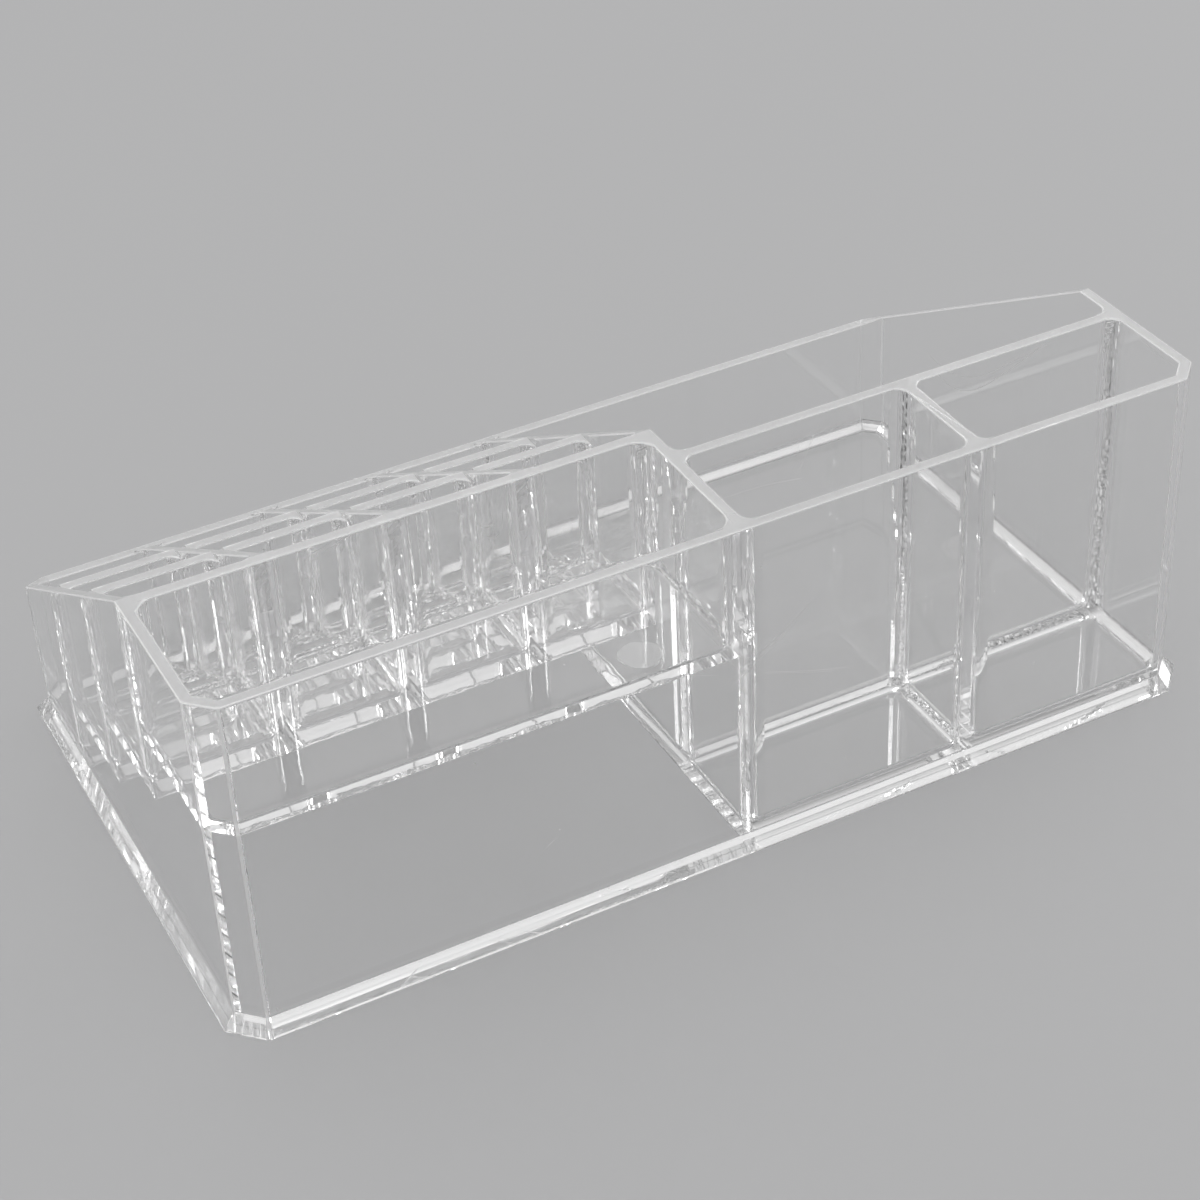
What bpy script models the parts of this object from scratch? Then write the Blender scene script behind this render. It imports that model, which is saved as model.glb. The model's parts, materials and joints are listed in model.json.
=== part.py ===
"""Clear plastic desktop organizer box.

A raised tray lies along the near side, with a block of small open cells behind it. The cells' floors
step down, and the walls behind the tray follow one slope, so the near side is tall and the far side
is low. The walls that run down the slope are cut to it, and those across it have level tops. Beside
them, on a flat base plate, are two tall bins and one wide compartment.

X runs along the length, Y from the near side to the far side, and Z is up. The origin is the centre
of the footprint, on the surface that the box stands on.
"""

import math

import bmesh
import bpy
from mathutils import Vector

# Overall sizes, in metres
LENGTH = 0.232  # over the foot, along X
WIDTH = 0.133  # over the foot, along Y
HEIGHT = 0.0814  # of the near side
FAR_HEIGHT = 0.0323  # of the far wall, where the slope ends

# Walls and floors
WALL = 0.0026
FLOOR = 0.0022
FLOOR_LIFT = 0.0008  # from the standing surface to the underside of the lowest floors
FLOOR_STEP = 0.0163  # rise from each row of cells to the next, and to the tray
CORNER_CUT = 0.0052  # leg of the cut at each upright corner of the walls

# Foot rim round the walls
FOOT_REACH = 0.0027  # how far the foot stands out from the walls
FOOT_HEIGHT = 0.0036
FOOT_LAND = 0.0005  # small flat at the foot's outer edge and at its top

# Inside sizes of the compartments that place the dividing walls
TRAY_INSIDE_LENGTH = 0.1115
TRAY_INSIDE_WIDTH = 0.0364
BIN_INSIDE_LENGTH = 0.0527
BIN_INSIDE_WIDTH = 0.0261
CELL_COLUMNS = 4
CELL_ROWS = 3

# Seam left between two panels that meet, and the share of a crossing that each slot takes
SEAM = 0.0003
LAP_SHARE = 0.5

# Clear moulded plastic
PLASTIC_COLOUR = (0.93, 0.95, 0.96, 1.0)
PLASTIC_ROUGHNESS = 0.03
PLASTIC_IOR = 1.57

# Angle between neighbouring sides of the eight-sided plan, and what follows from it
TURN = math.pi / 4
MITRE = math.tan(TURN / 2)

# Faces of the outer walls
HALF_LENGTH = LENGTH / 2 - FOOT_REACH
HALF_WIDTH = WIDTH / 2 - FOOT_REACH
LEFT = WALL - HALF_LENGTH
RIGHT = HALF_LENGTH - WALL
NEAR = WALL - HALF_WIDTH
FAR = HALF_WIDTH - WALL

# Centre planes of the dividing walls
CROSS_WALL_X = LEFT + TRAY_INSIDE_LENGTH + WALL / 2
TRAY_BACK_Y = NEAR + TRAY_INSIDE_WIDTH + WALL / 2
LONG_DIVIDER_Y = NEAR + BIN_INSIDE_WIDTH + WALL / 2
BIN_DIVIDER_X = CROSS_WALL_X + WALL + BIN_INSIDE_LENGTH
COLUMN_PITCH = (CROSS_WALL_X - LEFT + WALL / 2) / CELL_COLUMNS
ROW_PITCH = (FAR + WALL / 2 - TRAY_BACK_Y) / CELL_ROWS
COLUMN_WALLS_X = [CROSS_WALL_X - COLUMN_PITCH * n for n in range(CELL_COLUMNS - 1, 0, -1)]
ROW_WALLS_Y = [TRAY_BACK_Y + ROW_PITCH * n for n in range(1, CELL_ROWS)]

# The slope behind the tray, down to the middle of the far wall's level top
SLOPE_START_Y = TRAY_BACK_Y + WALL / 2
SLOPE_FALL = (HEIGHT - FAR_HEIGHT) / (FAR + WALL / 2 - SLOPE_START_Y)

# Width of a slot that takes a crossing wall, and the reach of a wall's end from its centre plane
SLOT = WALL + 2 * SEAM
BUTT = WALL / 2 + SEAM

WALL_NAMES = (
    "near_wall",
    "corner_near_right",
    "right_end_wall",
    "corner_far_right",
    "far_wall",
    "corner_far_left",
    "left_end_wall",
    "corner_near_left",
)


def clear_scene():
    for obj in list(bpy.data.objects):
        bpy.data.objects.remove(obj, do_unlink=True)


def clear_plastic(name):
    material = bpy.data.materials.new(name)
    material.use_nodes = True
    shader = material.node_tree.nodes["Principled BSDF"]
    shader.inputs["Base Color"].default_value = PLASTIC_COLOUR
    shader.inputs["Roughness"].default_value = PLASTIC_ROUGHNESS
    shader.inputs["Metallic"].default_value = 0.0
    shader.inputs["IOR"].default_value = PLASTIC_IOR
    shader.inputs["Transmission Weight"].default_value = 1.0
    return material


def make_frame():
    """The empty that carries every piece, at the part's origin."""
    frame = bpy.data.objects.new("organizer", None)
    bpy.context.collection.objects.link(frame)
    return frame


def make_piece(name, bm, frame, place=(0.0, 0.0, 0.0)):
    """One object of its own, with its own material, placed in the part's frame."""
    bmesh.ops.recalc_face_normals(bm, faces=bm.faces)
    mesh = bpy.data.meshes.new(name)
    bm.to_mesh(mesh)
    bm.free()
    mesh.materials.append(clear_plastic(name))
    piece = bpy.data.objects.new(name, mesh)
    piece.location = place
    piece.parent = frame
    bpy.context.collection.objects.link(piece)
    return piece


def push_outline(points, travel):
    """A flat outline pushed straight into a closed panel."""
    bm = bmesh.new()
    face = bm.faces.new([bm.verts.new(point) for point in points])
    pushed = bmesh.ops.extrude_face_region(bm, geom=[face])
    moved = [item for item in pushed["geom"] if isinstance(item, bmesh.types.BMVert)]
    bmesh.ops.translate(bm, verts=moved, vec=travel)
    return bm


def trim_to_slope(bm):
    """Cuts away what stands above the slope, and closes the cut."""
    bmesh.ops.recalc_face_normals(bm, faces=bm.faces)
    cut = bmesh.ops.bisect_plane(
        bm,
        geom=bm.verts[:] + bm.edges[:] + bm.faces[:],
        plane_co=(0.0, SLOPE_START_Y, HEIGHT),
        plane_no=(0.0, SLOPE_FALL, 1.0),
        clear_outer=True,
    )
    rim = [item for item in cut["geom_cut"] if isinstance(item, bmesh.types.BMEdge)]
    bmesh.ops.holes_fill(bm, edges=rim)
    return bm


def slope_height(y):
    """Height of the slope at a place behind the tray."""
    return HEIGHT - SLOPE_FALL * (y - SLOPE_START_Y)


def floor_underside(row):
    """Row 0 of the cells is next to the tray, and the last row is at the base. The tray is row -1."""
    return FLOOR_LIFT + FLOOR_STEP * (CELL_ROWS - 1 - row)


def floor_top(row):
    return floor_underside(row) + FLOOR


def lap_height(row):
    """Where the slots of a row wall and a column wall meet, behind this row of cells."""
    low = floor_top(row)
    return low + LAP_SHARE * (slope_height(ROW_WALLS_Y[row]) - low)


def corner_cut_at(offset):
    """Leg of the corner cut on an outline that lies this far inside the walls' outer faces."""
    return CORNER_CUT - offset * (2 - math.sqrt(2))


def plan_ring(offset, height=0.0):
    """The eight corners of the walls' outline moved inward, anticlockwise from the near side."""
    x = HALF_LENGTH - offset
    y = HALF_WIDTH - offset
    cut = corner_cut_at(offset)
    corners = (
        (cut - x, -y),
        (x - cut, -y),
        (x, cut - y),
        (x, y - cut),
        (x - cut, y),
        (cut - x, y),
        (-x, y - cut),
        (-x, cut - y),
    )
    return [Vector((*corner, height)) for corner in corners]


def make_outer_walls(frame):
    """Four walls and four corner strips, mitred where they meet. The far wall's top is level."""
    outer = plan_ring(0.0)
    inner = plan_ring(WALL)
    trim = SEAM / 2 / math.cos(TURN / 2)
    for side, name in enumerate(WALL_NAMES):
        after = (side + 1) % len(WALL_NAMES)
        step = (outer[after] - outer[side]).normalized() * trim
        outline = [outer[side] + step, outer[after] - step, inner[after] - step, inner[side] + step]
        if name == "far_wall":
            wall = push_outline(outline, (0.0, 0.0, FAR_HEIGHT))
        else:
            wall = trim_to_slope(push_outline(outline, (0.0, 0.0, HEIGHT)))
        make_piece(name, wall, frame)


def make_foot_rim(frame):
    """The sloped foot round the walls, as one closed ring."""
    section = (
        (-FOOT_REACH, 0.0),
        (-SEAM, 0.0),
        (-SEAM, FOOT_HEIGHT),
        (-SEAM - FOOT_LAND, FOOT_HEIGHT),
        (-FOOT_REACH, FOOT_LAND),
    )
    bm = bmesh.new()
    rings = [[bm.verts.new(point) for point in plan_ring(*place)] for place in section]
    for ring, following in zip(rings, rings[1:] + rings[:1]):
        for side in range(len(ring)):
            after = (side + 1) % len(ring)
            bm.faces.new((ring[side], ring[after], following[after], following[side]))
    make_piece("foot_rim", bm, frame)


def make_lengthwise_wall(name, frame, place_y, start, end, bottom, slots=(), slot_floor=HEIGHT):
    """A wall along X with a level top. Slots at the given places are open at the top."""
    top = min(HEIGHT, slope_height(place_y))
    outline = [(start, bottom), (end, bottom), (end, top)]
    for x in sorted(slots, reverse=True):
        outline += [(x + SLOT / 2, top), (x + SLOT / 2, slot_floor)]
        outline += [(x - SLOT / 2, slot_floor), (x - SLOT / 2, top)]
    outline.append((start, top))
    points = [(x, -WALL / 2, z) for x, z in outline]
    make_piece(name, push_outline(points, (0.0, WALL, 0.0)), frame, (0.0, place_y, 0.0))


def make_crosswise_wall(name, frame, place_x, end, bottom_edge):
    """A wall along Y over its bottom edge, which is a list of (y, z) from near to far."""
    start = bottom_edge[0][0]
    outline = [*bottom_edge, (end, HEIGHT), (start, HEIGHT)]
    points = [(-WALL / 2, y, z) for y, z in outline]
    bm = trim_to_slope(push_outline(points, (WALL, 0.0, 0.0)))
    make_piece(name, bm, frame, (place_x, 0.0, 0.0))


def make_column_wall(name, frame, place_x):
    """A wall between columns of cells. It stands on the stepped floors, slotted over the row walls."""
    start = TRAY_BACK_Y + BUTT
    end = FAR - SEAM
    edge = [(start, floor_top(0) + SEAM)]
    for row, y in enumerate(ROW_WALLS_Y):
        edge += [(y - SLOT / 2, floor_top(row) + SEAM), (y - SLOT / 2, lap_height(row))]
        edge += [(y + SLOT / 2, lap_height(row)), (y + SLOT / 2, floor_top(row + 1) + SEAM)]
    edge.append((end, floor_top(CELL_ROWS - 1) + SEAM))
    make_crosswise_wall(name, frame, place_x, end, edge)


def make_floor(name, frame, row, x_span, y_span, corners=()):
    """A flat plate. The named corners are cut to follow the corner strips of the walls."""
    cut = corner_cut_at(WALL + SEAM)
    (x0, x1), (y0, y1) = x_span, y_span
    outline = []
    for corner, x, y, before, after in (
        ("near_left", x0, y0, (0.0, cut), (cut, 0.0)),
        ("near_right", x1, y0, (-cut, 0.0), (0.0, cut)),
        ("far_right", x1, y1, (0.0, -cut), (-cut, 0.0)),
        ("far_left", x0, y1, (cut, 0.0), (0.0, -cut)),
    ):
        shifts = (before, after) if corner in corners else ((0.0, 0.0),)
        outline += [(x + dx, y + dy, 0.0) for dx, dy in shifts]
    make_piece(name, push_outline(outline, (0.0, 0.0, FLOOR)), frame, (0.0, 0.0, floor_underside(row)))


def make_cell_block(frame):
    """Everything left of the cross wall: the tray, and the rows of cells behind it."""
    start = LEFT + SEAM
    end = CROSS_WALL_X - BUTT
    tray_span = (NEAR + SEAM, TRAY_BACK_Y - BUTT)
    make_floor("tray_floor", frame, -1, (start, end), tray_span, ("near_left",))
    make_lengthwise_wall("tray_back_wall", frame, TRAY_BACK_Y, start, end, floor_underside(0))

    for row, y in enumerate(ROW_WALLS_Y):
        make_lengthwise_wall(
            f"cell_row_wall_{row + 1}",
            frame,
            y,
            start,
            end,
            floor_underside(row + 1),
            COLUMN_WALLS_X,
            lap_height(row) - SEAM,
        )
    for number, x in enumerate(COLUMN_WALLS_X, 1):
        make_column_wall(f"cell_column_wall_{number}", frame, x)

    walls_y = [TRAY_BACK_Y, *ROW_WALLS_Y]
    for row, y in enumerate(walls_y):
        last = row == CELL_ROWS - 1
        far_end = FAR - SEAM if last else walls_y[row + 1] - BUTT
        corners = ("far_left",) if last else ()
        make_floor(f"cell_floor_{row + 1}", frame, row, (start, end), (y + BUTT, far_end), corners)


def make_bins(frame):
    """The cross wall, and everything right of it, on one base plate."""
    base_row = CELL_ROWS - 1
    start = CROSS_WALL_X + BUTT
    cross_edge = [(NEAR + SEAM, FLOOR_LIFT), (FAR - SEAM, FLOOR_LIFT)]
    make_crosswise_wall("cross_wall", frame, CROSS_WALL_X, FAR - SEAM, cross_edge)

    plate_span = (NEAR + SEAM, FAR - SEAM)
    corners = ("near_right", "far_right")
    make_floor("base_plate", frame, base_row, (start, RIGHT - SEAM), plate_span, corners)

    bottom = floor_top(base_row) + SEAM
    make_lengthwise_wall("long_divider", frame, LONG_DIVIDER_Y, start, RIGHT - SEAM, bottom)
    divider_edge = [(NEAR + SEAM, bottom), (LONG_DIVIDER_Y - BUTT, bottom)]
    make_crosswise_wall("bin_divider", frame, BIN_DIVIDER_X, LONG_DIVIDER_Y - BUTT, divider_edge)


def main():
    clear_scene()
    frame = make_frame()
    make_outer_walls(frame)
    make_foot_rim(frame)
    make_cell_block(frame)
    make_bins(frame)


main()
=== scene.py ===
"""A clear plastic desktop organizer: the panels of one moulding with its rounded inner corners."""

import json
import math

import bmesh
import bpy
from mathutils import Euler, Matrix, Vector
from mathutils.bvhtree import BVHTree

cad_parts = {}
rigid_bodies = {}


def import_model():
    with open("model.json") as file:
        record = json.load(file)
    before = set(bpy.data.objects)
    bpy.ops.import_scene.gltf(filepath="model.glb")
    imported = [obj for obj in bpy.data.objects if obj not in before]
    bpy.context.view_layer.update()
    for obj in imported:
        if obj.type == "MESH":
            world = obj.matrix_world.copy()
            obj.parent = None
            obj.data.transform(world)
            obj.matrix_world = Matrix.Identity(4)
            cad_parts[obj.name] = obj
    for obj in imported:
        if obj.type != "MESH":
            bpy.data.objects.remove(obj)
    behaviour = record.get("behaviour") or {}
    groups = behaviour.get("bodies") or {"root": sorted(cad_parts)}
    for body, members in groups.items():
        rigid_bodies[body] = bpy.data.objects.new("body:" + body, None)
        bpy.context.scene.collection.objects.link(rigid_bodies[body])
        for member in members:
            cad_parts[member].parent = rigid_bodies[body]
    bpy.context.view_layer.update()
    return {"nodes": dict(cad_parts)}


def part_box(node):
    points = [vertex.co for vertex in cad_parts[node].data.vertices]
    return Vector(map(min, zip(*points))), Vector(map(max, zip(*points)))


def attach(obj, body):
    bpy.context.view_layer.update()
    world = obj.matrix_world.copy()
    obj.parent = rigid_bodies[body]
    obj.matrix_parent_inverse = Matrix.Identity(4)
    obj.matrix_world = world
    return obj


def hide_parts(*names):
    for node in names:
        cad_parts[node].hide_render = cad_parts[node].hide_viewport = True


bl_info = {
    "name": "Clear desktop organizer",
    "version": (1, 0, 0),
    "blender": (4, 5, 0),
    "location": "3D View > Sidebar > Organizer",
    "description": "Models the clear plastic panels of a desktop organizer round its solids, and a stage",
    "category": "Add Mesh",
}

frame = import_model()
BODY = "root"
MM = 0.001


def span(node, axis):
    """Lowest and highest place of a node along one axis: 0 is X, 1 is Y and 2 is Z."""
    low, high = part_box(node)
    return low[axis], high[axis]


def middle(node, axis):
    return sum(span(node, axis)) / 2


# Faces and centre planes of the panels, read from the solids
WALL = span("near_wall", 1)[1] - span("near_wall", 1)[0]
HEIGHT = span("near_wall", 2)[1]
HALF_LENGTH = span("right_end_wall", 0)[1]
HALF_WIDTH = span("far_wall", 1)[1]
LEFT, RIGHT = WALL - HALF_LENGTH, HALF_LENGTH - WALL
NEAR, FAR = WALL - HALF_WIDTH, HALF_WIDTH - WALL
CROSS_X = middle("cross_wall", 0)
BIN_DIVIDER_X = middle("bin_divider", 0)
LONG_DIVIDER_Y = middle("long_divider", 1)
TRAY_BACK_Y = middle("tray_back_wall", 1)


def numbered(stem):
    """The nodes of one stem that ends in a number, in order."""
    return sorted(name for name in frame["nodes"] if name.startswith(stem))


ROW_WALLS = numbered("cell_row_wall_")
COLUMN_WALLS = numbered("cell_column_wall_")
CELL_FLOORS = numbered("cell_floor_")
ROW_YS = [middle(name, 1) for name in ROW_WALLS]
COLUMN_XS = [middle(name, 0) for name in COLUMN_WALLS]
FLOOR_TOPS = [span(name, 2)[1] for name in CELL_FLOORS]
BASE_TOP = span("base_plate", 2)[1]
TRAY_TOP = span("tray_floor", 2)[1]

# The slope behind the tray, down to the middle of the far wall's level top
FAR_TOP = span("far_wall", 2)[1]
SLOPE_START = TRAY_BACK_Y + WALL / 2
SLOPE_FALL = (HEIGHT - FAR_TOP) / (FAR + WALL / 2 - SLOPE_START)

# Height of the upright edge of the foot rim
FOOT_LAND = 0.5 * MM

# Undersides higher than this are those of the tray and of the raised cells
RAISED = 10 * MM

# Heights closer than this are taken as the same
CLOSE = MM / 10

# Faces of the top edges lie within this of the rim's height
RIM_DEPTH = 3 * MM

# Angle between neighbouring sides of the eight-sided plan
TURN = math.pi / 4

# Parts of a face's normal: the least of an upward face, the least along an axis, and the most of an upright
# face along Z
UPWARD, STRAIGHT, UPRIGHT = 0.8, 0.999, 0.1

# The parts along X and Y differ less than this where a face stands at 45 degrees to both
DIAGONAL = 0.01

# Least lean along a wall of the normals of its mitred ends, and of the facets that round its corners
END_LEAN, FACET_LEAN = 0.9, 0.3

# An edge is square where its angle is within this of a right one, in radians
SQUARE_SLACK = 0.1

# Centre of the round mark from the cross wall's face and along Y, its radius over its depth, and its sides
GATE_FROM_WALL, GATE_Y = 9.7 * MM, 4.3 * MM
GATE_FLATNESS = 16
GATE_SIDES = 64

# Faces across a small rounding, and the profile of a bevel with a round section
ROUNDING_STEPS = 2
ROUND_PROFILE = 0.5

# Share of a web's radius where the rounding of a top edge stops
WEB_SHARE = 0.6

# A direction that runs along no face
ASKEW = Vector((0.13, 0.21, 1.0))

# Scales of the noises for waves, smudges, scratches, the gaps in them, and dust, to the metre
SLOW_WAVES, SHORT_WAVES = 35.0, 230.0
SMUDGES, SCRATCHES, GAPS, DUST = 40.0, 11.0, 30.0, 190.0

# Values of their noises between which smudges and scratches come in, and the middle value
SMUDGE_BAND, GAP_BAND = (0.5, 0.8), (0.5, 0.6)
NOISE_MIDDLE = 0.5

# Half a scratch's width in its noise, a grain's core and edge in cells, and the share of clean cells
SCRATCH_WIDTH = 0.0009
GRAIN = (0.02, 0.05)
CLEAN = 0.88

# The stage: light bounces, half the floor's side, its drop below the foot, and its roughness
BOUNCES, GLOSSY_BOUNCES = 96, 64
FLOOR_REACH = 20.0
FLOOR_DROP = MM / 10
FLOOR_ROUGHNESS = 0.55

# Heights on the sky's sphere between which it brightens
SKY_BAND = (0.05, 0.6)

# The overhead light's width and tilt in degrees
SUN_WIDTH = 70
SUN_TILT = (-12, -15, 0)

# The side lamps, and the point they are aimed at
LAMP_PLACES = {"left": (-1.0, 0.25, 0.95), "right": (1.0, 0.5, 0.95)}
LAMP_SIZE = (0.5, 0.25)
LAMP_AIM = (0.0, 0.0, 0.04)

# The camera fitted to the photograph, its turn in degrees
CAMERA_PLACE = (-0.21275, -0.44257, 0.38285)
CAMERA_TURN = (53.8778, 2.51857, -27.5494)

# Places of the finishes among a piece's materials
PLAIN, RIM, ROUNDED, FILLET, SEAM = range(5)

OUTER_SIDES = (
    "near_wall",
    "corner_near_right",
    "right_end_wall",
    "corner_far_right",
    "far_wall",
    "corner_far_left",
    "left_end_wall",
    "corner_near_left",
)


class OrganizerMoulding(bpy.types.PropertyGroup):
    """Sizes of what the moulding adds to the flat panels."""

    fillet: bpy.props.FloatProperty(
        name="Fillet",
        description="Radius where walls and floors meet",
        default=3.0 * MM,
        unit="LENGTH",
    )
    tray_fillet: bpy.props.FloatProperty(
        name="Tray fillet",
        description="Radius of the tray's inner corners",
        default=4.5 * MM,
        unit="LENGTH",
    )
    tray_foot_fillet: bpy.props.FloatProperty(
        name="Tray foot fillet",
        description="Radius along the tray's floor",
        default=1.5 * MM,
        unit="LENGTH",
    )
    fillet_steps: bpy.props.IntProperty(
        name="Fillet steps",
        description="Faces across a fillet",
        default=10,
    )
    lap: bpy.props.FloatProperty(
        name="Lap",
        description="How far a piece reaches into its neighbour, so that both look like one moulding",
        default=0.02 * MM,
        unit="LENGTH",
    )
    corner_cut: bpy.props.FloatProperty(
        name="Corner cut",
        description="Leg of the cut at each upright corner",
        default=5.2 * MM,
        unit="LENGTH",
    )
    rim_round: bpy.props.FloatProperty(
        name="Rim rounding",
        description="Width of the rounding along the top edges",
        default=0.3 * MM,
        unit="LENGTH",
    )
    corner_round: bpy.props.FloatProperty(
        name="Corner rounding",
        description="Width of the rounding down the upright corners",
        default=0.7 * MM,
        unit="LENGTH",
    )
    foot_lap: bpy.props.FloatProperty(
        name="Foot lap",
        description="How far the foot rim reaches into the walls",
        default=0.16 * MM,
        unit="LENGTH",
    )
    foot_round: bpy.props.FloatProperty(
        name="Foot rounding",
        description="Width of the rounding along the foot's edge",
        default=0.12 * MM,
        unit="LENGTH",
    )
    gate: bpy.props.FloatProperty(
        name="Gate mark",
        description="Radius of the round mark under the base plate",
        default=5.4 * MM,
        unit="LENGTH",
    )


class OrganizerPlastic(bpy.types.PropertyGroup):
    """The clear plastic, its frosted top edges, and its wear."""

    colour: bpy.props.FloatVectorProperty(
        name="Colour",
        description="Tint of the plastic",
        subtype="COLOR",
        default=(0.985, 0.985, 0.985),
    )
    rim_colour: bpy.props.FloatVectorProperty(
        name="Rim colour",
        description="Tint of the top edges",
        subtype="COLOR",
        default=(0.96, 0.96, 0.96),
    )
    rim_roughness: bpy.props.FloatProperty(
        name="Rim roughness",
        description="Roughness of the top edges",
        default=0.35,
    )
    rim_clear: bpy.props.FloatProperty(
        name="Rim clearness",
        description="Share of the light that goes through a top edge",
        default=0.7,
    )
    rounded_clear: bpy.props.FloatProperty(
        name="Rounding clearness",
        description="Share of the light that goes through a rounding",
        default=0.35,
    )
    ior: bpy.props.FloatProperty(
        name="IOR",
        description="Index of refraction",
        default=1.5,
    )
    shadow: bpy.props.FloatProperty(
        name="Shadow",
        description="Share of the lamps' light that passes each face",
        default=0.96,
    )
    wave: bpy.props.FloatProperty(
        name="Waviness",
        description="Height of the slow waves in the flat faces",
        default=0.02 * MM,
        unit="LENGTH",
    )
    fillet_wave: bpy.props.FloatProperty(
        name="Fillet waviness",
        description="Height of the short waves in the fillets",
        default=0.02 * MM,
        unit="LENGTH",
    )
    smudges: bpy.props.FloatProperty(
        name="Smudges",
        description="Roughness that smudges add",
        default=0.04,
    )
    scratches: bpy.props.FloatProperty(
        name="Scratches",
        description="Roughness that scratches add",
        default=0.35,
    )
    dust: bpy.props.FloatProperty(
        name="Dust",
        description="Roughness that grains of dust add",
        default=0.4,
    )


class OrganizerStage(bpy.types.PropertyGroup):
    """Floor, lamps and camera."""

    floor: bpy.props.FloatVectorProperty(
        name="Floor",
        description="Colour of the floor",
        subtype="COLOR",
        default=(0.42, 0.42, 0.425),
    )
    horizon: bpy.props.FloatProperty(
        name="Horizon",
        description="Brightness near the horizon",
        default=0.22,
    )
    sky: bpy.props.FloatProperty(
        name="Sky",
        description="Brightness higher up",
        default=0.87,
    )
    overhead: bpy.props.FloatProperty(
        name="Overhead",
        description="Strength of the overhead light",
        default=0.25,
    )
    side: bpy.props.FloatProperty(
        name="Side",
        description="Power of the side lamps",
        default=2.5,
        unit="POWER",
    )
    lens: bpy.props.FloatProperty(
        name="Lens",
        description="Focal length in millimetres",
        default=81.44,
    )


class Value:
    """A number in a material that takes part in Python sums, by Math nodes."""

    def __init__(self, graph, socket):
        self.graph = graph
        self.socket = socket

    def calculate(self, operation, first, second):
        return self.graph.value("Math", {"operation": operation}, {0: first, 1: second})

    def __add__(self, other):
        return self.calculate("ADD", self, other)

    def __mul__(self, other):
        return self.calculate("MULTIPLY", self, other)

    def __sub__(self, other):
        return self.calculate("SUBTRACT", self, other)

    def __rsub__(self, other):
        return self.calculate("SUBTRACT", other, self)

    __radd__ = __add__
    __rmul__ = __mul__


class Graph:
    """The nodes of one material or world."""

    def __init__(self, tree):
        self.tree = tree

    def node(self, kind, settings=None, sockets=None):
        made = self.tree.nodes.new("ShaderNode" + kind)
        for name, setting in (settings or {}).items():
            setattr(made, name, setting)
        for name, value in (sockets or {}).items():
            if isinstance(value, Value):
                self.tree.links.new(value.socket, made.inputs[name])
            else:
                made.inputs[name].default_value = value
        return made

    def value(self, kind, settings=None, sockets=None, output=0):
        return Value(self, self.node(kind, settings, sockets).outputs[output])


def ramp(value, band, results):
    """Brings a number that runs through a band to the results at its two ends."""
    bounds = {"From Min": band[0], "From Max": band[1], "To Min": results[0], "To Max": results[1]}
    return value.graph.value("MapRange", None, {"Value": value, **bounds})


def lamps_pass(graph, shader, share):
    """The shader, which lets lamps and the light from the floor straight through."""
    path = graph.node("LightPath")
    clear = graph.value("BsdfTransparent", None, {"Color": (share, share, share, 1.0)})
    for ray in ("Is Shadow Ray", "Is Diffuse Ray"):
        factor = Value(graph, path.outputs[ray])
        shader = graph.value("MixShader", None, {0: factor, 1: shader, 2: clear})
    return shader


def plastic_material(name, colour, roughness, through, waves):
    """A clear finish. waves gives the scale of its waves and their height."""
    plastic = bpy.context.scene.organizer_plastic
    material = bpy.data.materials.new(name)
    material.use_nodes = True
    graph = Graph(material.node_tree)
    graph.tree.nodes.clear()
    place = graph.value("TexCoord", output="Object")
    scale, height = waves
    swell = graph.value("TexNoise", None, {"Vector": place, "Scale": scale, "Detail": 1.0})
    normal = graph.value("Bump", None, {"Strength": 1.0, "Distance": height, "Height": swell})
    cloud = {"Vector": place, "Scale": SMUDGES, "Detail": 4.0, "Roughness": 0.6}
    haze = ramp(graph.value("TexNoise", None, cloud), SMUDGE_BAND, (0.0, plastic.smudges))
    scratches = plastic.scratches * hairlines(graph, place)
    dust = plastic.dust * specks(graph, place)
    shader = graph.value(
        "BsdfPrincipled",
        None,
        {
            "Base Color": (*colour, 1.0),
            "Roughness": roughness + haze + scratches + dust,
            "IOR": plastic.ior,
            "Transmission Weight": through,
            "Normal": normal,
        },
    )
    shader = lamps_pass(graph, shader, plastic.shadow)
    graph.node("OutputMaterial", None, {"Surface": shader})
    return material


def hairlines(graph, place):
    """Thin long scratches in slight arcs, broken off here and there.

    They run where a slow noise passes through its middle value.
    """
    swell = graph.value("TexNoise", None, {"Vector": place, "Scale": SCRATCHES, "Detail": 0.0})
    away = graph.value("Math", {"operation": "ABSOLUTE"}, {0: swell - NOISE_MIDDLE})
    line = ramp(away, (0.0, SCRATCH_WIDTH), (1.0, 0.0))
    patches = graph.value("TexNoise", None, {"Vector": place, "Scale": GAPS, "Detail": 2.0})
    return line * ramp(patches, GAP_BAND, (0.0, 1.0))


def specks(graph, place):
    """Small grains of dust, in about one cell of eight."""
    cells = {"Vector": place, "Scale": DUST}
    far = graph.value("TexVoronoi", None, cells, "Distance")
    chance = graph.value("SeparateXYZ", None, {0: graph.value("TexVoronoi", None, cells, "Color")}, "X")
    dusty = graph.value("Math", {"operation": "GREATER_THAN"}, {0: chance, 1: CLEAN})
    return ramp(far, GRAIN, (1.0, 0.0)) * dusty


def seam_material():
    """Nothing to be seen: two parts of one moulding run on into each other there."""
    material = bpy.data.materials.get("moulded_seam")
    if material is None:
        material = bpy.data.materials.new("moulded_seam")
        material.use_nodes = True
        material.node_tree.nodes["Principled BSDF"].inputs["Alpha"].default_value = 0.0
    return material


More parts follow.
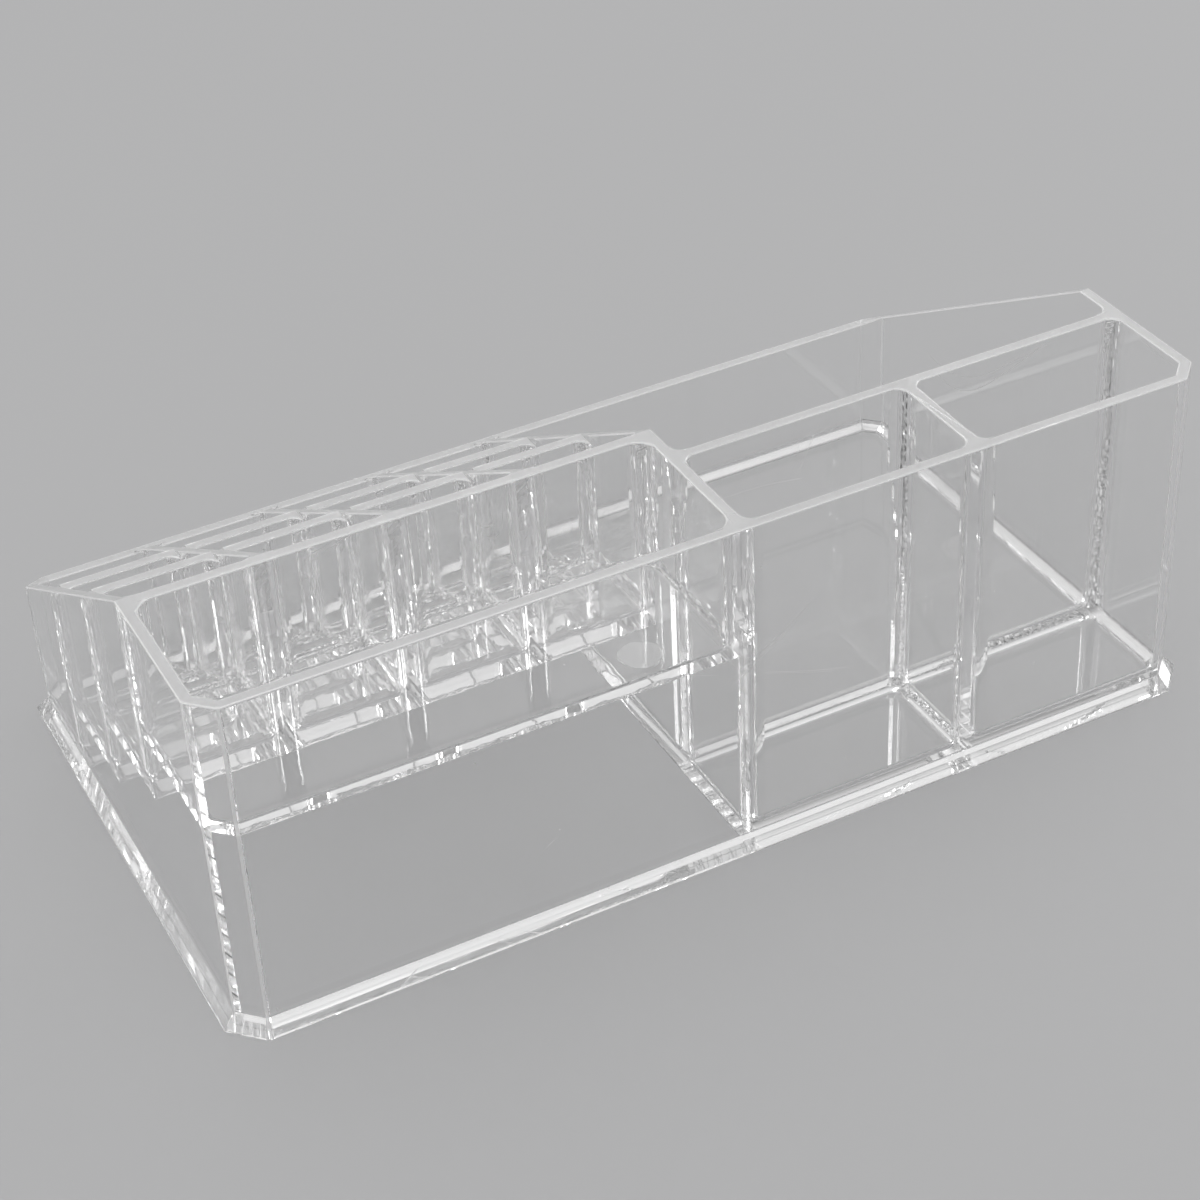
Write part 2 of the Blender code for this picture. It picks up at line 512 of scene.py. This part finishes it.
def organizer_materials():
    """The finishes in the order PLAIN, RIM, ROUNDED, FILLET and SEAM, made once."""
    plastic = bpy.context.scene.organizer_plastic
    slow, short = (SLOW_WAVES, plastic.wave), (SHORT_WAVES, plastic.fillet_wave)
    finishes = {
        "clear_plastic": (plastic.colour, 0.0, 1.0, slow),
        "frosted_rim": (plastic.rim_colour, plastic.rim_roughness, plastic.rim_clear, short),
        "rounded_rim": (plastic.rim_colour, plastic.rim_roughness / 2, plastic.rounded_clear, short),
        "moulded_fillet": (plastic.colour, 0.0, 1.0, short),
    }
    made = bpy.data.materials
    clear = [made.get(name) or plastic_material(name, *finish) for name, finish in finishes.items()]
    return [*clear, seam_material()]


def add_prism(bm, points, travel):
    """Pushes a flat outline straight through the space, as a closed block in the given bmesh.

    Its faces are made one by one, because bmesh's own extrusion makes them in another order in each run.
    """
    first = [bm.verts.new(point) for point in points]
    last = [bm.verts.new(vert.co + Vector(travel)) for vert in first]
    added = [bm.faces.new(first), bm.faces.new(last)]
    for place in range(len(points)):
        added.append(bm.faces.new((first[place - 1], first[place], last[place], last[place - 1])))
    bmesh.ops.recalc_face_normals(bm, faces=added)
    return added


def prism(points, travel):
    bm = bmesh.new()
    add_prism(bm, points, travel)
    return bm


def rim_height(y):
    """Height of the top edges at a place along Y."""
    return min(HEIGHT, HEIGHT - SLOPE_FALL * (y - SLOPE_START))


def trim_to_slope(bm):
    """Cuts away what stands above the slope, and closes the cut."""
    cut = bmesh.ops.bisect_plane(
        bm,
        geom=bm.verts[:] + bm.edges[:] + bm.faces[:],
        plane_co=(0.0, SLOPE_START, HEIGHT),
        plane_no=(0.0, SLOPE_FALL, 1.0),
        clear_outer=True,
    )
    rim = [item for item in cut["geom_cut"] if isinstance(item, bmesh.types.BMEdge)]
    bmesh.ops.holes_fill(bm, edges=rim)
    return bm


def corner_cut_at(offset):
    """Leg of the corner cut on the walls' outline moved inward."""
    return bpy.context.scene.organizer_moulding.corner_cut - offset * (2 - math.sqrt(2))


def plan_ring(offset, height=0.0):
    """The eight corners of the walls' outline moved inward, anticlockwise from the near side."""
    x = HALF_LENGTH - offset
    y = HALF_WIDTH - offset
    cut = corner_cut_at(offset)
    corners = (
        (cut - x, -y),
        (x - cut, -y),
        (x, cut - y),
        (x, y - cut),
        (x - cut, y),
        (cut - x, y),
        (-x, y - cut),
        (-x, cut - y),
    )
    return [Vector((*corner, height)) for corner in corners]


def cut_rectangle(x_span, y_span, z, cut, corners):
    """A rectangle in plan. The named corners are cut off."""
    (x0, x1), (y0, y1) = x_span, y_span
    outline = []
    for corner, x, y, before, after in (
        ("near_left", x0, y0, (0.0, cut), (cut, 0.0)),
        ("near_right", x1, y0, (-cut, 0.0), (0.0, cut)),
        ("far_right", x1, y1, (0.0, -cut), (-cut, 0.0)),
        ("far_left", x0, y1, (cut, 0.0), (0.0, -cut)),
    ):
        shifts = (before, after) if corner in corners else ((0.0, 0.0),)
        outline += [(x + dx, y + dy, z) for dx, dy in shifts]
    return outline


def plate(x_span, y_span, low, high, corners):
    """A block for a floor, which laps into the walls round it."""
    lap = bpy.context.scene.organizer_moulding.lap
    x_span, y_span = ((first - lap, last + lap) for first, last in (x_span, y_span))
    outline = cut_rectangle(x_span, y_span, low, corner_cut_at(WALL - lap), corners)
    return prism(outline, (0.0, 0.0, high - low))


def round_edges(bm, edges, width, steps):
    """Rounds the edges, and gives the new faces."""
    made = bmesh.ops.bevel(
        bm,
        geom=edges,
        offset=width,
        segments=steps,
        profile=ROUND_PROFILE,
        affect="EDGES",
        material=-1,
    )
    return made["faces"]


def is_square(edge):
    return abs(edge.calc_face_angle() - math.pi / 2) < SQUARE_SLACK


def move_into(bm, shape):
    """Moves a shape into bm by way of a mesh, which puts its faces in the same order in each run."""
    mesh = bpy.data.meshes.new("moved")
    shape.to_mesh(mesh)
    shape.free()
    bm.from_mesh(mesh)
    bpy.data.meshes.remove(mesh)
    return bm


def add_hollow(bm, x_span, y_span, bottom, radius, corners=(), foot_radius=None):
    """The empty space of one compartment, rounded at its square corners and along its floor.

    The floor's edge takes the corners' radius where foot_radius isn't given. Each bevel gets a bmesh
    of its own, because a second one would put its faces in another order in each run.
    """
    steps = bpy.context.scene.organizer_moulding.fillet_steps
    outline = cut_rectangle(x_span, y_span, bottom, corner_cut_at(WALL), corners)
    shape = bmesh.new()
    faces = add_prism(shape, outline, (0.0, 0.0, 2 * HEIGHT))
    uprights, foot = [], []
    for edge in dict.fromkeys(edge for face in faces for edge in face.edges):
        low, high = sorted(vert.co.z for vert in edge.verts)
        if high - low > HEIGHT and is_square(edge):
            uprights.append(edge)
        elif high - bottom < CLOSE:
            foot.append(edge)
    if foot_radius is None:
        round_edges(shape, uprights + foot, radius, steps)
    else:
        round_edges(shape, uprights, radius, steps)
        shape = move_into(bmesh.new(), shape)
        shape.normal_update()
        foot = [edge for edge in shape.edges if max(vert.co.z for vert in edge.verts) - bottom < CLOSE]
        round_edges(shape, [edge for edge in foot if is_square(edge)], foot_radius, steps)
    move_into(bm, shape)


def add_gate_mark(bm, centre, radius):
    """A shallow round recess, to be cut from an underside."""
    depth = radius / GATE_FLATNESS
    made = bmesh.ops.create_cone(
        bm,
        cap_ends=True,
        segments=GATE_SIDES,
        radius1=radius,
        radius2=radius - depth,
        depth=2 * depth,
    )
    bmesh.ops.translate(bm, verts=made["verts"], vec=centre)


def add_web(bm, corner, along, out, heights, radius):
    """A fillet that fills the upright corner where a wall meets its neighbour.

    along points away from the neighbour, along the wall, and out points away from the wall's face.
    """
    moulding = bpy.context.scene.organizer_moulding
    lap = moulding.lap
    steps = moulding.fillet_steps
    sunk = lap / 10
    arc = [math.pi / 2 * step / steps for step in range(steps + 1)]
    curve = [(radius * (1 - math.sin(a)), radius * (1 - math.cos(a)) - sunk) for a in arc]
    outline = [(radius, -lap), *curve, (-lap, radius), (-lap, -lap)]
    low, high = heights
    start = Vector((*corner, low))
    along, out = Vector((*along, 0.0)), Vector((*out, 0.0))
    points = [start + along * a + out * b for a, b in outline]
    add_prism(bm, points, (0.0, 0.0, high - low))


def combine(name, bm, tool, operation):
    """The first shape with the second joined to it or cut from it, as a new bmesh."""
    objects = []
    for label, shape in ((name, bm), (name + "_tool", tool)):
        mesh = bpy.data.meshes.new(label)
        shape.to_mesh(mesh)
        shape.free()
        obj = bpy.data.objects.new(label, mesh)
        bpy.context.scene.collection.objects.link(obj)
        objects.append(obj)
    base, cutter = objects
    modifier = base.modifiers.new("combine", "BOOLEAN")
    modifier.object = cutter
    modifier.operation = operation
    modifier.solver = "EXACT"
    evaluated = base.evaluated_get(bpy.context.evaluated_depsgraph_get())
    result = bmesh.new()
    result.from_mesh(evaluated.to_mesh())
    evaluated.to_mesh_clear()
    for obj in objects:
        mesh = obj.data
        bpy.data.objects.remove(obj)
        bpy.data.meshes.remove(mesh)
    return result


def finish_of(face):
    """The place of a face's finish among the materials."""
    on_rim = all(vert.co.z > rim_height(vert.co.y) - RIM_DEPTH for vert in face.verts)
    if face.normal.z > UPWARD and on_rim:
        return RIM
    if face.normal.z < -STRAIGHT and face.calc_center_median().z > RAISED:
        return FILLET
    x, y, z = (abs(part) for part in face.normal)
    flat = max(x, y, z) > STRAIGHT or abs(x - y) < DIAGONAL
    return PLAIN if flat else FILLET


def make_piece(node, bm):
    """A clear piece that stands for one node of the solids."""
    name = node + "_clear"
    bm.normal_update()
    for face in bm.faces:
        face.material_index = finish_of(face)
    mesh = bpy.data.meshes.new(name)
    bm.to_mesh(mesh)
    bm.free()
    for material in organizer_materials():
        mesh.materials.append(material)
    piece = bpy.data.objects.new(name, mesh)
    bpy.context.scene.collection.objects.link(piece)
    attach(piece, BODY)
    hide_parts(node)
    return piece


def full_height(ends, low):
    """The outline of a wall that runs between two ends, from low to the organizer's height."""
    start, end = ends
    return [(start, low), (end, low), (end, HEIGHT), (start, HEIGHT)]


def make_wall(node, lengthwise, line, outline, webs, level=False):
    """A flat wall with its webs joined on. A level wall keeps its top where the slope would trim it.

    line is the place of the wall's centre plane, and outline gives places along the wall with their heights.
    """
    face = line - WALL / 2
    if lengthwise:
        bm = prism([(place, face, z) for place, z in outline], (0.0, WALL, 0.0))
    else:
        bm = prism([(face, place, z) for place, z in outline], (WALL, 0.0, 0.0))
    tool = bmesh.new()
    for web in webs:
        add_web(tool, *web)
    if level:
        trim_to_slope(tool)
    bm = combine(node, bm, tool, "UNION")
    return make_piece(node, bm if level else trim_to_slope(bm))


def end_webs(end, toward, line, starts, radii, lengthwise, high=HEIGHT):
    """The two webs at one end of a wall, at its lower and its higher side.

    end is the place of the neighbour's face along the wall, and toward is +1 or -1, away from that face.
    starts gives the height where each web starts.
    """
    webs = []
    for side, low, radius in zip((-1.0, 1.0), starts, radii):
        face = line + side * WALL / 2
        if lengthwise:
            webs.append(((end, face), (toward, 0.0), (0.0, side), (low, high), radius))
        else:
            webs.append(((face, end), (0.0, toward), (side, 0.0), (low, high), radius))
    return webs


class ORGANIZER_OT_outer_walls(bpy.types.Operator):
    """Make the four outer walls and the four corner strips"""

    bl_idname = "organizer.outer_walls"
    bl_label = "Outer walls"

    def execute(self, context):
        for side, node in enumerate(OUTER_SIDES):
            outline, along = self.mitred_outline(context.scene.organizer_moulding, side)
            bm = prism(outline, (0.0, 0.0, HEIGHT))
            if node.endswith("end_wall"):
                trim_to_slope(bm)
            else:
                self.level_tops(bm)
            for face in make_piece(node, bm).data.polygons:
                lean = abs(face.normal.dot(along))
                if lean > END_LEAN:
                    face.material_index = SEAM
                elif lean > FACET_LEAN and abs(face.normal.z) < UPRIGHT:
                    face.material_index = ROUNDED
        return {"FINISHED"}

    def mitred_outline(self, moulding, side):
        """One side's outline in plan, with its outer corners cut for the rounding, and its direction."""
        outer = plan_ring(0.0)
        inner = plan_ring(WALL)
        reach = moulding.lap / 2 / math.cos(TURN / 2)
        back = moulding.corner_round / 2 / math.cos(TURN / 2)
        after = (side + 1) % len(OUTER_SIDES)
        along = (outer[after] - outer[side]).normalized()
        step = along * reach
        outline = [inner[after] + step, inner[side] - step]
        for corner, way in ((side, 1), (after, -1)):
            inward = (inner[corner] - outer[corner]).normalized() * back * math.sin(TURN / 2)
            ends = [outer[corner] + inward - step * way, outer[corner] + along * back * way]
            outline += ends[::way]
        return outline, along

    def level_tops(self, bm):
        """Brings the tops down to the far wall's level at the far side, and to the slope before it."""
        for vert in bm.verts:
            if vert.co.z > HEIGHT / 2:
                vert.co.z = FAR_TOP if vert.co.y > FAR - MM / 2 else rim_height(vert.co.y)


class ORGANIZER_OT_cross_wall(bpy.types.Operator):
    """Make the cross wall between the cells and the bins"""

    bl_idname = "organizer.cross_wall"
    bl_label = "Cross wall"

    def execute(self, context):
        moulding = context.scene.organizer_moulding
        fillet, tray_fillet, lap = moulding.fillet, moulding.tray_fillet, moulding.lap
        outline = full_height((NEAR - lap, FAR + lap), span("cross_wall", 2)[0])
        foot = BASE_TOP + fillet - lap
        tray_foot = TRAY_TOP + moulding.tray_foot_fillet - lap
        cell_foot = FLOOR_TOPS[-1] + fillet - lap
        webs = end_webs(NEAR, 1.0, CROSS_X, (tray_foot, foot), (tray_fillet, fillet), False)
        webs += end_webs(FAR, -1.0, CROSS_X, (cell_foot, foot), (fillet, fillet), False)
        make_wall("cross_wall", False, CROSS_X, outline, webs)
        return {"FINISHED"}


class ORGANIZER_OT_bins(bpy.types.Operator):
    """Make the base plate and the dividers of the open compartments"""

    bl_idname = "organizer.bins"
    bl_label = "Bins"

    def execute(self, context):
        moulding = context.scene.organizer_moulding
        left = CROSS_X + WALL / 2
        self.base_plate(moulding, left)
        foot = BASE_TOP + moulding.fillet - moulding.lap
        self.long_divider(moulding, left, foot)
        self.bin_divider(moulding, foot)
        return {"FINISHED"}

    def base_plate(self, moulding, left):
        fillet = moulding.fillet
        corners = ("near_right", "far_right")
        bottom = span("base_plate", 2)[0]
        block = plate((left, RIGHT), (NEAR, FAR), bottom, BASE_TOP + fillet, corners)
        hollows = bmesh.new()
        near_bins = (NEAR, LONG_DIVIDER_Y - WALL / 2)
        add_hollow(hollows, (left, BIN_DIVIDER_X - WALL / 2), near_bins, BASE_TOP, fillet)
        add_hollow(hollows, (BIN_DIVIDER_X + WALL / 2, RIGHT), near_bins, BASE_TOP, fillet, corners[:1])
        add_hollow(hollows, (left, RIGHT), (LONG_DIVIDER_Y + WALL / 2, FAR), BASE_TOP, fillet, corners[1:])
        add_gate_mark(hollows, (left + GATE_FROM_WALL, GATE_Y, bottom), moulding.gate)
        piece = make_piece("base_plate", combine("base_plate", block, hollows, "DIFFERENCE"))
        for face in piece.data.polygons:
            if face.normal.z < -UPWARD and face.center.z > bottom + CLOSE:
                face.material_index = RIM

    def long_divider(self, moulding, left, foot):
        radii = (moulding.fillet, moulding.fillet)
        outline = full_height((left - moulding.lap, RIGHT + moulding.lap), foot)
        webs = end_webs(left, 1.0, LONG_DIVIDER_Y, (foot, foot), radii, True)
        webs += end_webs(RIGHT, -1.0, LONG_DIVIDER_Y, (foot, foot), radii, True)
        make_wall("long_divider", True, LONG_DIVIDER_Y, outline, webs)

    def bin_divider(self, moulding, foot):
        radii = (moulding.fillet, moulding.fillet)
        far = LONG_DIVIDER_Y - WALL / 2
        outline = full_height((NEAR - moulding.lap, far + moulding.lap), foot)
        webs = end_webs(NEAR, 1.0, BIN_DIVIDER_X, (foot, foot), radii, False)
        webs += end_webs(far, -1.0, BIN_DIVIDER_X, (foot, foot), radii, False)
        make_wall("bin_divider", False, BIN_DIVIDER_X, outline, webs)


class ORGANIZER_OT_tray(bpy.types.Operator):
    """Make the tray's floor and the wall behind it"""

    bl_idname = "organizer.tray"
    bl_label = "Tray"

    def execute(self, context):
        moulding = context.scene.organizer_moulding
        fillet, tray_fillet, lap = moulding.fillet, moulding.tray_fillet, moulding.lap
        foot_fillet = moulding.tray_foot_fillet
        right = CROSS_X - WALL / 2
        back = TRAY_BACK_Y - WALL / 2
        corners = ("near_left",)
        bottom = span("tray_floor", 2)[0]
        block = plate((LEFT, right), (NEAR, back), bottom, TRAY_TOP + foot_fillet, corners)
        hollow = bmesh.new()
        add_hollow(hollow, (LEFT, right), (NEAR, back), TRAY_TOP, tray_fillet, corners, foot_fillet)
        make_piece("tray_floor", combine("tray_floor", block, hollow, "DIFFERENCE"))

        outline = full_height((LEFT - lap, right + lap), span("tray_back_wall", 2)[0])
        starts = (TRAY_TOP + foot_fillet - lap, FLOOR_TOPS[0] + fillet - lap)
        radii = (tray_fillet, fillet)
        webs = end_webs(LEFT, 1.0, TRAY_BACK_Y, starts, radii, True)
        webs += end_webs(right, -1.0, TRAY_BACK_Y, starts, radii, True)
        make_wall("tray_back_wall", True, TRAY_BACK_Y, outline, webs)
        return {"FINISHED"}


class ORGANIZER_OT_cell_floors(bpy.types.Operator):
    """Make the stepped floors of the cells"""

    bl_idname = "organizer.cell_floors"
    bl_label = "Cell floors"

    def execute(self, context):
        fillet = context.scene.organizer_moulding.fillet
        walls_y = [TRAY_BACK_Y, *ROW_YS, FAR + WALL / 2]
        walls_x = [LEFT - WALL / 2, *COLUMN_XS, CROSS_X]
        for row, node in enumerate(CELL_FLOORS):
            corners = ("far_left",) if node == CELL_FLOORS[-1] else ()
            y_span = (walls_y[row] + WALL / 2, walls_y[row + 1] - WALL / 2)
            top = FLOOR_TOPS[row]
            block = plate((LEFT, CROSS_X - WALL / 2), y_span, span(node, 2)[0], top + fillet, corners)
            hollows = bmesh.new()
            for column, x in enumerate(walls_x[:-1]):
                x_span = (x + WALL / 2, walls_x[column + 1] - WALL / 2)
                add_hollow(hollows, x_span, y_span, top, fillet, corners if column == 0 else ())
            make_piece(node, combine(node, block, hollows, "DIFFERENCE"))
        return {"FINISHED"}


def crossing_height(row):
    """Height where a row wall's slots end, below the crossing column walls."""
    wall = ROW_WALLS[row]
    low, high = span(wall, 2)
    heights = sorted(vert.co.z for vert in frame["nodes"][wall].data.vertices)
    return next(z for z in heights if low + MM < z < high - MM)


class ORGANIZER_OT_cell_walls(bpy.types.Operator):
    """Make the walls between the cells, which cross in slots"""

    bl_idname = "organizer.cell_walls"
    bl_label = "Cell walls"

    def execute(self, context):
        moulding = context.scene.organizer_moulding
        for row in range(len(ROW_WALLS)):
            self.row_wall(moulding, row)
        for column in range(len(COLUMN_WALLS)):
            self.column_wall(moulding, column)
        return {"FINISHED"}

    def row_wall(self, moulding, row):
        fillet, lap = moulding.fillet, moulding.lap
        radii = (fillet, fillet)
        y, cross = ROW_YS[row], crossing_height(row)
        low, top = span(ROW_WALLS[row], 2)
        slot = WALL / 2 - lap
        right = CROSS_X - WALL / 2
        outline = [(LEFT - lap, low), (right + lap, low), (right + lap, top)]
        starts = (FLOOR_TOPS[row] + fillet - lap, FLOOR_TOPS[row + 1] + fillet - lap)
        webs = end_webs(LEFT, 1.0, y, starts, radii, True, top)
        webs += end_webs(right, -1.0, y, starts, radii, True, top)
        for x in reversed(COLUMN_XS):
            outline += [(x + slot, top), (x + slot, cross), (x - slot, cross), (x - slot, top)]
            webs += end_webs(x + WALL / 2, 1.0, y, (cross - lap,) * 2, radii, True, top)
            webs += end_webs(x - WALL / 2, -1.0, y, (cross - lap,) * 2, radii, True, top)
        outline.append((LEFT - lap, top))
        make_wall(ROW_WALLS[row], True, y, outline, webs, level=True)

    def column_wall(self, moulding, column):
        fillet, lap = moulding.fillet, moulding.lap
        radii = (fillet, fillet)
        x = COLUMN_XS[column]
        near = TRAY_BACK_Y + WALL / 2
        slot = WALL / 2 - lap
        starts = [top + fillet - lap for top in FLOOR_TOPS]
        outline = [(near - lap, starts[0])]
        webs = end_webs(near, 1.0, x, (starts[0],) * 2, radii, False)
        for row, y in enumerate(ROW_YS):
            cross = crossing_height(row)
            outline += [(y - slot, starts[row]), (y - slot, cross - lap)]
            outline += [(y + slot, cross - lap), (y + slot, starts[row + 1])]
            webs += end_webs(y - WALL / 2, -1.0, x, (starts[row],) * 2, radii, False, cross)
            webs += end_webs(y + WALL / 2, 1.0, x, (starts[row + 1],) * 2, radii, False, cross)
        webs += end_webs(FAR, -1.0, x, (starts[-1],) * 2, radii, False)
        outline += [(FAR + lap, starts[-1]), (FAR + lap, HEIGHT), (near - lap, HEIGHT)]
        make_wall(COLUMN_WALLS[column], False, x, outline, webs)


class ORGANIZER_OT_foot_rim(bpy.types.Operator):
    """Make the sloped rim round the foot"""

    bl_idname = "organizer.foot_rim"
    bl_label = "Foot rim"

    def execute(self, context):
        moulding = context.scene.organizer_moulding
        lap = moulding.foot_lap
        top = span("foot_rim", 2)[1]
        reach = span("foot_rim", 0)[1] - HALF_LENGTH
        section = ((lap, 0.0), (-reach, 0.0), (-reach, FOOT_LAND), (lap, top))
        bm = bmesh.new()
        rings = []
        for offset, height in section:
            verts = [bm.verts.new(corner) for corner in plan_ring(offset, height)]
            rings.append([bm.edges.new((vert, verts[place - 1])) for place, vert in enumerate(verts)])
        for place, ring in enumerate(rings):
            bmesh.ops.bridge_loops(bm, edges=rings[place - 1] + ring)
        bmesh.ops.recalc_face_normals(bm, faces=bm.faces[:])
        round_edges(bm, rings[1] + rings[2], moulding.foot_round, ROUNDING_STEPS)
        foot = make_piece("foot_rim", bm)
        for face in foot.data.polygons:
            face.material_index = PLAIN
        return {"FINISHED"}


class ORGANIZER_OT_rim_rounding(bpy.types.Operator):
    """Round the top edges of the walls where nothing joins them"""

    bl_idname = "organizer.rim_rounding"
    bl_label = "Rim rounding"

    def execute(self, context):
        moulding = context.scene.organizer_moulding
        width = moulding.rim_round
        reaches = [WEB_SHARE * radius for radius in (moulding.fillet, moulding.tray_fillet)]
        walls = [bpy.data.objects[node + "_clear"] for node in frame["nodes"] if self.has_rim(node)]
        shapes = {}
        for wall in walls:
            bm = bmesh.new()
            bm.from_mesh(wall.data)
            self.split_at_joints(bm, reaches)
            bm.normal_update()
            shapes[wall] = bm
        trees = {wall: BVHTree.FromBMesh(bm) for wall, bm in shapes.items()}
        for wall, bm in shapes.items():
            others = [tree for other, tree in trees.items() if other != wall]
            chosen = [edge for edge in bm.edges if self.is_free(edge, width, trees[wall], others)]
            for face in round_edges(bm, chosen, width, ROUNDING_STEPS):
                face.material_index = ROUNDED
            for vert in bm.verts:
                vert.co.z = min(vert.co.z, HEIGHT)
            bm.to_mesh(wall.data)
        for bm in shapes.values():
            bm.free()
        return {"FINISHED"}

    def has_rim(self, node):
        return any(word in node for word in ("wall", "corner", "divider"))

    def split_at_joints(self, bm, reaches):
        """Cuts the faces across where a neighbour's web ends, so that a rounding can stop there."""
        crossings = [(0, x) for x in (CROSS_X, BIN_DIVIDER_X, *COLUMN_XS)]
        crossings += [(1, y) for y in (TRAY_BACK_Y, LONG_DIVIDER_Y, *ROW_YS)]
        for axis, place in crossings:
            for side in (-1, 1):
                for reach in reaches:
                    at, normal = Vector(), Vector()
                    at[axis] = place + side * (WALL / 2 + reach)
                    normal[axis] = 1.0
                    geom = bm.verts[:] + bm.edges[:] + bm.faces[:]
                    bmesh.ops.bisect_plane(bm, geom=geom, plane_co=at, plane_no=normal)

    def is_free(self, edge, width, own, others):
        """True for an edge of the rim with open air beside it, and only the wall's own plastic behind it."""
        rims = [face for face in edge.link_faces if face.material_index == RIM]
        sides = [face for face in edge.link_faces if abs(face.normal.z) < UPRIGHT]
        if len(rims) != 1 or len(sides) != 1:
            return False
        below = (edge.verts[0].co + edge.verts[1].co) / 2 - Vector((0.0, 0.0, width / 2))
        out = sides[0].normal
        beside, behind = below + out * width / 2, below - out * width
        if inside(own, beside) or not inside(own, behind):
            return False
        return not any(inside(tree, beside) or inside(tree, behind) for tree in others)


def inside(tree, point):
    """True where the point lies within the closed shape of a search tree."""
    place, normal, _, _ = tree.ray_cast(point, ASKEW)
    return place is not None and normal.dot(ASKEW) > 0


class ORGANIZER_OT_stage(bpy.types.Operator):
    """Make the floor, the lamps and the camera"""

    bl_idname = "organizer.stage"
    bl_label = "Stage"

    def execute(self, context):
        scene = context.scene
        scene.view_settings.view_transform = "Standard"
        scene.cycles.max_bounces = BOUNCES
        scene.cycles.transmission_bounces = BOUNCES
        scene.cycles.glossy_bounces = GLOSSY_BOUNCES
        scene.cycles.transparent_max_bounces = BOUNCES
        stage = scene.organizer_stage
        self.add_floor(scene, stage)
        self.add_sky(scene, stage)
        self.add_lamps(scene, stage)
        self.add_camera(scene, stage)
        return {"FINISHED"}

    def add_floor(self, scene, stage):
        mesh = bpy.data.meshes.new("floor")
        bm = bmesh.new()
        bmesh.ops.create_grid(bm, x_segments=1, y_segments=1, size=FLOOR_REACH)
        bmesh.ops.translate(bm, verts=bm.verts[:], vec=(0.0, 0.0, -FLOOR_DROP))
        bm.to_mesh(mesh)
        bm.free()
        floor = bpy.data.objects.new("floor", mesh)
        scene.collection.objects.link(floor)
        material = bpy.data.materials.new("floor")
        material.use_nodes = True
        shader = material.node_tree.nodes["Principled BSDF"]
        shader.inputs["Base Color"].default_value = (*stage.floor, 1.0)
        shader.inputs["Roughness"].default_value = FLOOR_ROUGHNESS
        mesh.materials.append(material)

    def add_sky(self, scene, stage):
        world = bpy.data.worlds.new("studio")
        world.use_nodes = True
        graph = Graph(world.node_tree)
        graph.tree.nodes.clear()
        way = graph.value("TexCoord", output="Generated")
        up = graph.value("SeparateXYZ", None, {"Vector": way}, "Z")
        glow = ramp(up, SKY_BAND, (stage.horizon, stage.sky))
        background = graph.value("Background", None, {"Color": (1.0, 1.0, 1.0, 1.0), "Strength": glow})
        graph.node("OutputWorld", None, {"Surface": background})
        scene.world = world

    def add_lamps(self, scene, stage):
        data = bpy.data.lights.new("overhead", "SUN")
        data.energy = stage.overhead
        data.angle = math.radians(SUN_WIDTH)
        lamp = bpy.data.objects.new("overhead", data)
        lamp.rotation_euler = Euler(math.radians(degrees) for degrees in SUN_TILT)
        scene.collection.objects.link(lamp)
        for label, place in LAMP_PLACES.items():
            data = bpy.data.lights.new(label, "AREA")
            data.shape = "RECTANGLE"
            data.size, data.size_y = LAMP_SIZE
            data.energy = stage.side
            lamp = bpy.data.objects.new(label, data)
            lamp.location = place
            toward = Vector(LAMP_AIM) - Vector(place)
            lamp.rotation_euler = toward.to_track_quat("-Z", "Y").to_euler()
            lamp.visible_camera = False
            scene.collection.objects.link(lamp)

    def add_camera(self, scene, stage):
        data = bpy.data.cameras.new("camera")
        data.lens = stage.lens
        camera = bpy.data.objects.new("camera", data)
        camera.location = CAMERA_PLACE
        camera.rotation_euler = Euler(math.radians(degrees) for degrees in CAMERA_TURN)
        scene.collection.objects.link(camera)
        scene.camera = camera


GROUPS = {
    "organizer_moulding": OrganizerMoulding,
    "organizer_plastic": OrganizerPlastic,
    "organizer_stage": OrganizerStage,
}

STEPS = (
    ORGANIZER_OT_outer_walls,
    ORGANIZER_OT_foot_rim,
    ORGANIZER_OT_cross_wall,
    ORGANIZER_OT_bins,
    ORGANIZER_OT_tray,
    ORGANIZER_OT_cell_floors,
    ORGANIZER_OT_cell_walls,
    ORGANIZER_OT_rim_rounding,
    ORGANIZER_OT_stage,
)


class ORGANIZER_PT_panel(bpy.types.Panel):
    """Lists the organizer's sizes and its steps"""

    bl_idname = "ORGANIZER_PT_panel"
    bl_label = "Organizer"
    bl_space_type = "VIEW_3D"
    bl_region_type = "UI"
    bl_category = "Organizer"

    def draw(self, context):
        for name, group in GROUPS.items():
            for size in group.__annotations__:
                self.layout.prop(getattr(context.scene, name), size)
        for step in STEPS:
            self.layout.operator(step.bl_idname)


CLASSES = (*GROUPS.values(), *STEPS, ORGANIZER_PT_panel)


def register():
    for cls in CLASSES:
        bpy.utils.register_class(cls)
    for name, group in GROUPS.items():
        setattr(bpy.types.Scene, name, bpy.props.PointerProperty(type=group))


def unregister():
    for name in GROUPS:
        delattr(bpy.types.Scene, name)
    for cls in reversed(CLASSES):
        bpy.utils.unregister_class(cls)


def main():
    register()
    for step in STEPS:
        group, action = step.bl_idname.split(".")
        getattr(getattr(bpy.ops, group), action)()


if __name__ == "__main__":
    main()
